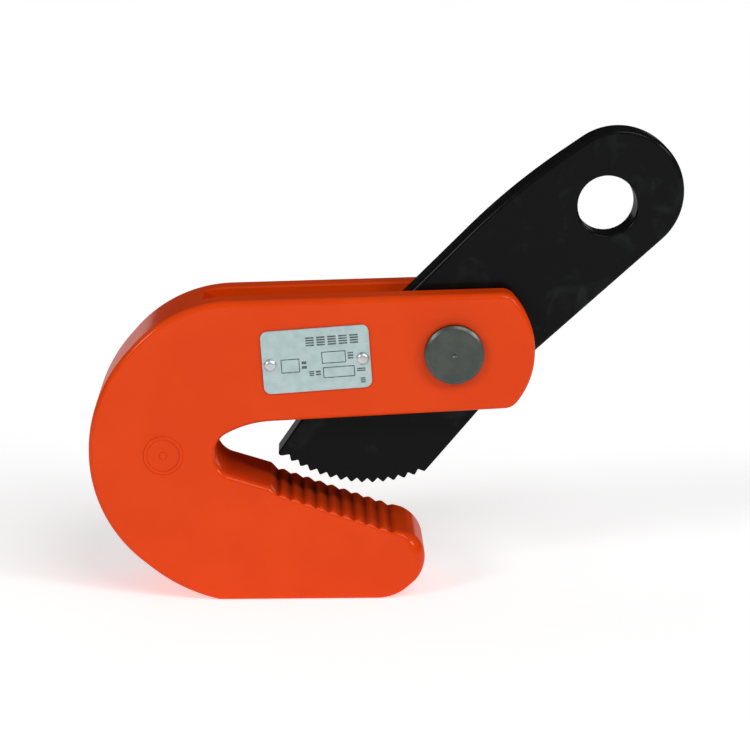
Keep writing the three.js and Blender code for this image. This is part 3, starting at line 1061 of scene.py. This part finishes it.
@dataclass
class PivotPin:
    """Headed pin with its washer and the split pin that keeps it in."""

    place: Place
    radius: float = 13.0
    head_radius: float = 16.0
    head_height: float = 4.6
    bevel: tuple[float, float] = (1.7, 0.95)    # width and depth of the bevel round the head
    tail_chamfer: float = 1.2
    centre_mark: tuple[float, float] = (1.3, 0.9)   # radius and depth
    washer_inner: float = 13.3
    washer_edge: float = 0.5
    hole: float = 2.9
    sharp: float = 35.0                 # faces that meet at a larger angle have a sharp edge
    behind: float = 35.4                # y of the split pin's axis
    wire: float = 2.2                   # radius of the split pin's half-round wire
    spread: float = 0.12                # from the axis to the flat of each leg
    loop: tuple[float, float] = (21.6, 2.4)   # height and inner radius of the split pin's eye
    loop_turn: tuple[float, float] = (-55.0, 235.0)
    neck: tuple[float, float] = (4.6, 3.0)      # how far below the eye's centre a leg bends, and radius
    knee: tuple[float, float] = (-12.5, 9.0)    # height of the lower bend, and radius
    leg_end: tuple[float, float] = (5.6, -20.2)

    def shank(self) -> bpy.types.Mesh:
        """Turned pin with a centre mark in its head, drilled across for the split pin.

        Returns:
            The mesh.
        """
        low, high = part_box("pivot_pin")
        face, end = low.y / MM, high.y / MM
        under = face + self.head_height
        width, depth = self.bevel
        dot, sink = self.centre_mark
        profile = [Corner(0, face + sink), Corner(dot, face, 0.25),
                   Corner(self.head_radius - width, face, 0.5), Corner(self.head_radius, face + depth, 0.4),
                   Corner(self.head_radius, under, 0.3),
                   Corner(self.radius, under, 0.1), Corner(self.radius, end - self.tail_chamfer, 0.3),
                   Corner(self.radius - self.tail_chamfer, end, 0.3), Corner(dot, end, 0.25),
                   Corner(0, end - sink)]
        made = Surface()
        made.add_turned(rounded(profile, closed=False), self.place.pivot[0], self.place.pivot[2])
        return made.mesh("headed_pin")

    def drilled_at(self) -> tuple[float, float, float]:
        """Place where the split pin's axis crosses the pin's, in metres."""
        return self.place.pivot[0], self.behind * MM, self.place.pivot[2]

    def drill(self, piece: bpy.types.Object) -> None:
        """Cuts the split pin's hole out of the finished pin.

        Args:
            piece: the pin.
        """
        drill = Surface()
        reach = 2 * self.radius
        profile = rounded([Corner(0, -reach), Corner(self.hole, -reach), Corner(self.hole, reach),
                           Corner(0, reach)], closed=False)
        drill.add_turned(profile, 0, 0, segments=48)
        tool = bpy.data.objects.new("drill", drill.mesh("drill"))
        tool.data.transform(Matrix.Translation(self.drilled_at()) @ Matrix.Rotation(math.pi / 2, 4, "X"))
        bpy.context.scene.collection.objects.link(tool)
        cut = piece.modifiers.new("drill", "BOOLEAN")
        cut.operation, cut.solver, cut.object = "DIFFERENCE", "EXACT", tool
        bpy.context.view_layer.update()
        finished = piece.evaluated_get(bpy.context.evaluated_depsgraph_get())
        drilled = bpy.data.meshes.new_from_object(finished)
        piece.modifiers.clear()
        piece.data = drilled
        piece.data.name = piece.name
        bpy.data.objects.remove(tool)
        drilled.polygons.foreach_set("use_smooth", np.ones(len(drilled.polygons), bool))
        drilled.set_sharp_from_angle(angle=math.radians(self.sharp))

    def split_pin(self) -> bpy.types.Mesh:
        """Half-round wire carried up one leg, round the eye and down the other.

        The wire's flat follows the path P(s), and a point (a, b) of its section lies at
        P(s) + a N(s) + b Y, where N is the path's outward normal.

        Returns:
            The mesh.
        """
        height, inner = self.loop
        below, bend = self.neck
        leg = [Corner(*self.leg_end), Corner(self.spread, *self.knee),
               Corner(self.spread, height - below, bend)]
        mirrored = [Corner(-corner.x, corner.z, corner.radius) for corner in reversed(leg)]
        path = rounded([*leg, *wrap(0, height, inner, *self.loop_turn, 6), *mirrored], closed=False)
        section = rounded([Corner(0, -self.wire, 0.3), *wrap(0, 0, self.wire, -90, 90, 4),
                           Corner(0, self.wire, 0.3)])
        out = in_space(path.normals, np.array(0.0))
        middle = in_space(path.points, np.array(0.0)) + np.array(self.drilled_at())
        across = np.array([0.0, 1.0, 0.0])
        points = (middle[:, None] + section.points[None, :, :1] * out[:, None]
                  + section.points[None, :, 1:] * across)
        normals = section.normals[None, :, :1] * out[:, None] + section.normals[None, :, 1:] * across
        made = Surface()
        made.add_grid(Rows(points, normals), closed=True)
        ends = [-right_of(path.normals[0]), right_of(path.normals[-1])]
        for index, way in zip((0, -1), ends):
            made.add_face([points[index]], tuple(-in_space(way, np.array(0.0))))
        return made.mesh("cotter_pin")

    def build(self) -> None:
        """Makes the pin, its washer and the split pin."""
        pivot = self.place.pivot
        pin = make_piece(self.shank(), PIN_STEEL.material(pivot), Body.PIN, PIN_STEEL.slot, "pivot_pin")
        self.drill(pin)
        washer = flat_ring("tail_washer", "pin_washer", self.washer_inner, self.washer_edge, self.place)
        make_piece(washer, ZINC_WASHER.material(pivot), Body.PIN, ZINC_WASHER.slot, "pin_washer")
        wire = ZINC_WIRE.material(self.drilled_at())
        make_piece(self.split_pin(), wire, Body.PIN, ZINC_WIRE.slot, "split_pin")


@dataclass(frozen=True)
class Mark:
    """Printed mark on the nameplate, in millimetres from the plate's centre.

    A frame is an empty box; a mark with bars is that many level bars over its height.
    """

    right: float
    up: float
    width: float
    height: float
    bars: int = 0


@dataclass
class Nameplate:
    """Small tilted plate with blank printed fields, held by two domed rivets."""

    place: Place
    width: float = 58.0
    height: float = 34.4
    corner: float = 4.0
    tilt: float = 4.0
    edge: float = 0.45
    hole: float = 1.6
    shank: float = 1.3                  # radius of a rivet's shank
    sunk: float = 1.0                   # how far the shank goes into the body
    dome: float = 3.0                   # radius of a rivet's dome
    crown: float = 0.6                  # where the dome turns down, as a share of the head's radius
    brim: float = 0.3
    line: float = 0.5                   # width of a printed line
    bar: float = 0.62                   # thickness of a bar as a share of the bars' pitch
    ink: float = 0.05                   # how far the print stands out
    box_corners: tuple[float, float] = (0.4, 0.2)   # radius of a printed box's corners, out and in
    bar_corner: float = 0.15
    title: Mark = Mark(9.0, 10.0, 4.5, 5.4, 4)
    title_pitch: float = 5.9
    title_count: int = 5
    marks: tuple[Mark, ...] = (
        Mark(-14.0, -2.5, 10.0, 7.6), Mark(9.4, 0.7, 13.0, 6.6), Mark(11.7, -7.5, 17.0, 6.0),
        Mark(-6.6, -2.5, 2.6, 5.0, 2), Mark(18.4, 1.0, 3.0, 4.2, 3), Mark(-2.9, -7.4, 2.6, 3.0, 3),
        Mark(0.6, -7.4, 2.6, 3.0, 2), Mark(23.6, -7.1, 4.6, 2.2, 2), Mark(24.2, -13.0, 2.6, 3.2, 3))

    def centre(self) -> np.ndarray:
        """Centre of the plate (x, z) in millimetres, from its CAD node's box."""
        low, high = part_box("nameplate")
        return np.array([low.x + high.x, low.z + high.z]) / 2 / MM

    def corners(self, mark: Mark, radius: float, edge: float = 0.0, grow: float = 0.0,
                hole: bool = False) -> list[Corner]:
        """Corners of a rectangle on the plate, turned by its tilt.

        Args:
            mark: the rectangle.
            radius: radius of its corners.
            edge: radius of its edge.
            grow: how far it is made larger on each side.
            hole: whether it bounds a hole, so that it runs clockwise.

        Returns:
            The four corners.
        """
        along, up = compass(self.tilt), compass(self.tilt + 90)
        middle = self.centre() + along * mark.right + up * mark.up
        signs = [(-1, -1), (1, -1), (1, 1), (-1, 1)]
        if hole:
            signs.reverse()
        return [Corner(*(middle + along * i * (mark.width / 2 + grow) + up * k * (mark.height / 2 + grow)),
                       radius, edge) for i, k in signs]

    def printed(self) -> Surface:
        """Frames and bars as thin raised print."""
        made = Surface()
        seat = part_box("nameplate")[0].y
        front = seat - self.ink * MM
        outside, within = self.box_corners
        first = self.title.right - self.title_pitch * (self.title_count - 1) / 2
        title = [Mark(first + self.title_pitch * k, self.title.up, self.title.width, self.title.height,
                      self.title.bars) for k in range(self.title_count)]
        for mark in (*self.marks, *title):
            if mark.bars == 0:
                hole = rounded(self.corners(mark, within, grow=-self.line, hole=True))
                made.add_slab(rounded(self.corners(mark, outside)), front, seat, (hole,))
            pitch = mark.height / max(mark.bars, 1)
            for k in range(mark.bars):
                level = mark.up + pitch * (k - (mark.bars - 1) / 2)
                bar = Mark(mark.right, level, mark.width, pitch * self.bar)
                made.add_slab(rounded(self.corners(bar, self.bar_corner)), front, seat)
        return made

    def plate(self) -> Surface:
        """The plate with its two rivet holes."""
        made = Surface()
        low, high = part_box("nameplate")
        holes = [ring(x, z, self.hole, 0.15, hole=True, count=40) for x, z in self.rivets().values()]
        whole = Mark(0, 0, self.width, self.height)
        made.add_slab(rounded(self.corners(whole, self.corner, self.edge)), low.y, high.y, tuple(holes))
        return made

    @staticmethod
    def rivets() -> dict[str, tuple[float, float]]:
        """Centres of the rivets in millimetres, from their CAD nodes' boxes."""
        boxes = {side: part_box(f"nameplate_rivet_{side}") for side in ("left", "right")}
        return {side: ((low.x + high.x) / 2 / MM, (low.z + high.z) / 2 / MM)
                for side, (low, high) in boxes.items()}

    def build(self) -> None:
        """Makes the plate, its print and its rivets."""
        middle = self.centre() * MM
        centre = (float(middle[0]), -self.place.half_body, float(middle[1]))
        turn = -math.radians(self.tilt)
        make_piece(self.plate().mesh("name_tag"), PLATE_METAL.material(centre, turn), Body.CLAMP,
                   PLATE_METAL.slot, "nameplate")
        ink = InkFinish()
        make_piece(self.printed().mesh("name_tag_print"), ink.material(), Body.CLAMP, ink.slot)
        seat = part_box("nameplate")[0].y / MM
        for side, (x, z) in self.rivets().items():
            low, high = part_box(f"nameplate_rivet_{side}")
            head, top, tip = (high.x - low.x) / 2 / MM, low.y / MM, self.sunk - self.place.half_body / MM
            profile = [Corner(0, top), Corner(self.crown * head, top, self.dome),
                       Corner(head, seat - self.brim, self.brim), Corner(head - 0.1, seat, 0.05),
                       Corner(self.shank, seat), Corner(self.shank, tip), Corner(0, tip)]
            made = Surface()
            made.add_turned(rounded(profile, closed=False), x * MM, z * MM, segments=64)
            make_piece(made.mesh(f"tag_rivet_{side}"), RIVET_METAL.material((x * MM, seat * MM, z * MM)),
                       Body.CLAMP, RIVET_METAL.slot, f"nameplate_rivet_{side}")


# ---------------------------------------------------------------------------- studio
def backward(azimuth: float, elevation: float) -> Vector:
    """Direction (sin a cos e, -cos a cos e, sin e) from the object towards a camera or a light."""
    turn, rise = math.radians(azimuth), math.radians(elevation)
    return Vector((math.sin(turn) * math.cos(rise), -math.cos(turn) * math.cos(rise), math.sin(rise)))


@dataclass(frozen=True)
class Lamp:
    """Even soft light from one direction, given as an azimuth and an elevation in degrees."""

    name: str
    azimuth: float
    elevation: float
    softness: float                     # angle over which the light is spread, in degrees
    power: float

    def build(self) -> None:
        """Makes the light."""
        light = bpy.data.lights.new(self.name, "SUN")
        light.angle, light.energy = math.radians(self.softness), self.power
        lamp = bpy.data.objects.new(self.name, light)
        lamp.rotation_euler = (-backward(self.azimuth, self.elevation)).to_track_quat("-Z", "Y").to_euler()
        bpy.context.scene.collection.objects.link(lamp)


@dataclass(frozen=True)
class FloorFinish:
    """Plain pale floor, which glows as a light table does."""

    colour: Colour = (0.90, 0.90, 0.90)
    shade: Colour = (0.87, 0.87, 0.87)
    roughness: float = 0.85
    gloss: float = 0.1
    glow: float = 0.46

    def material(self) -> bpy.types.Material:
        """Makes the floor's material, whose two tones drift over 300 mm."""
        shader = Shader("floor", self.roughness)
        drift = shader.span(shader.noise(300), 0.3, 0.7)
        shader.link(shader.blend(drift, self.colour, self.shade), "Base Color")
        shader.surface.inputs["Specular IOR Level"].default_value = self.gloss
        shader.surface.inputs["Emission Color"].default_value = with_alpha((1.0, 1.0, 1.0))
        shader.surface.inputs["Emission Strength"].default_value = self.glow
        return shader.material


@dataclass
class Studio:
    """Pale floor, soft light and the camera."""

    aim: tuple[float, float, float] = (0.04089, -0.028, 0.12572)
    distance: float = 1.39799
    azimuth: float = -1.556
    elevation: float = 13.25
    lens: float = 125.568
    sensor: float = 36.0
    far: float = 100.0
    floor_half: float = 15.0
    floor_finish: FloorFinish = FloorFinish()
    sky: tuple[float, float] = (0.05, 0.30)    # dim behind the clamp, bright overhead and in front
    sky_middle: float = 62.0            # elevation of the sky's brightest part, towards the front
    sky_spread: tuple[float, float] = (-0.1, 0.7)   # d . m where the sky is dim and where it is bright
    lamps: tuple[Lamp, ...] = (Lamp("key_light", 24.0, 46.0, 26.0, 0.70),
                               Lamp("left_light", -48.0, 27.0, 14.0, 0.74),
                               Lamp("right_light", 54.0, 27.0, 14.0, 0.82))

    def floor(self) -> None:
        """Makes the floor, a square at the height of the clamp's base."""
        half = self.floor_half
        mesh = bpy.data.meshes.new("floor")
        mesh.from_pydata([(-half, -half, 0), (half, -half, 0), (half, half, 0), (-half, half, 0)], [],
                         [(0, 1, 2), (0, 2, 3)])
        mesh.materials.append(self.floor_finish.material())
        floor = bpy.data.objects.new("floor", mesh)
        bpy.context.scene.collection.objects.link(floor)

    def camera(self) -> None:
        """Makes the camera, which looks at the aim from a distance along azimuth and elevation."""
        back = backward(self.azimuth, self.elevation)
        lens = bpy.data.cameras.new("camera")
        lens.lens, lens.sensor_width, lens.clip_end = self.lens, self.sensor, self.far
        camera = bpy.data.objects.new("camera", lens)
        camera.location = Vector(self.aim) + back * self.distance
        camera.rotation_euler = (-back).to_track_quat("-Z", "Y").to_euler()
        bpy.context.scene.collection.objects.link(camera)
        bpy.context.scene.camera = camera

    def dome(self) -> None:
        """Makes the sky: towards d it is as bright as a smooth step of d . m, with m its middle."""
        world = bpy.data.worlds.new("studio")
        world.use_nodes = True
        nodes, links = world.node_tree.nodes, world.node_tree.links
        toward = nodes.new("ShaderNodeVectorMath")
        toward.operation = "DOT_PRODUCT"
        toward.inputs[1].default_value = backward(0.0, self.sky_middle)
        links.new(nodes.new("ShaderNodeTexCoord").outputs["Generated"], toward.inputs[0])
        spread = nodes.new("ShaderNodeMapRange")
        spread.interpolation_type = "SMOOTHSTEP"
        for key, number in zip(RANGE_SOCKETS, (*self.sky_spread, *self.sky)):
            spread.inputs[key].default_value = number
        links.new(toward.outputs["Value"], spread.inputs["Value"])
        background = nodes["Background"]
        background.inputs["Color"].default_value = (1.0, 1.0, 1.0, 1.0)
        links.new(spread.outputs["Result"], background.inputs["Strength"])
        bpy.context.scene.world = world

    def build(self) -> None:
        """Makes the sky, floor, lights and camera."""
        bpy.context.scene.view_settings.view_transform = "Standard"
        self.dome()
        self.floor()
        for lamp in self.lamps:
            lamp.build()
        self.camera()


def main() -> None:
    """Builds the clamp round the frame and sets up the studio."""
    logging.basicConfig(level=logging.INFO, format="%(message)s", force=True)
    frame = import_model()
    place = Place.of(frame)
    for assembly in (ClampBody(place), CamLever(place), Bearing(place), PivotPin(place), Nameplate(place)):
        assembly.build()
        LOG.info("%s done", type(assembly).__name__)
    Studio().build()


if __name__ == "__main__":
    main()
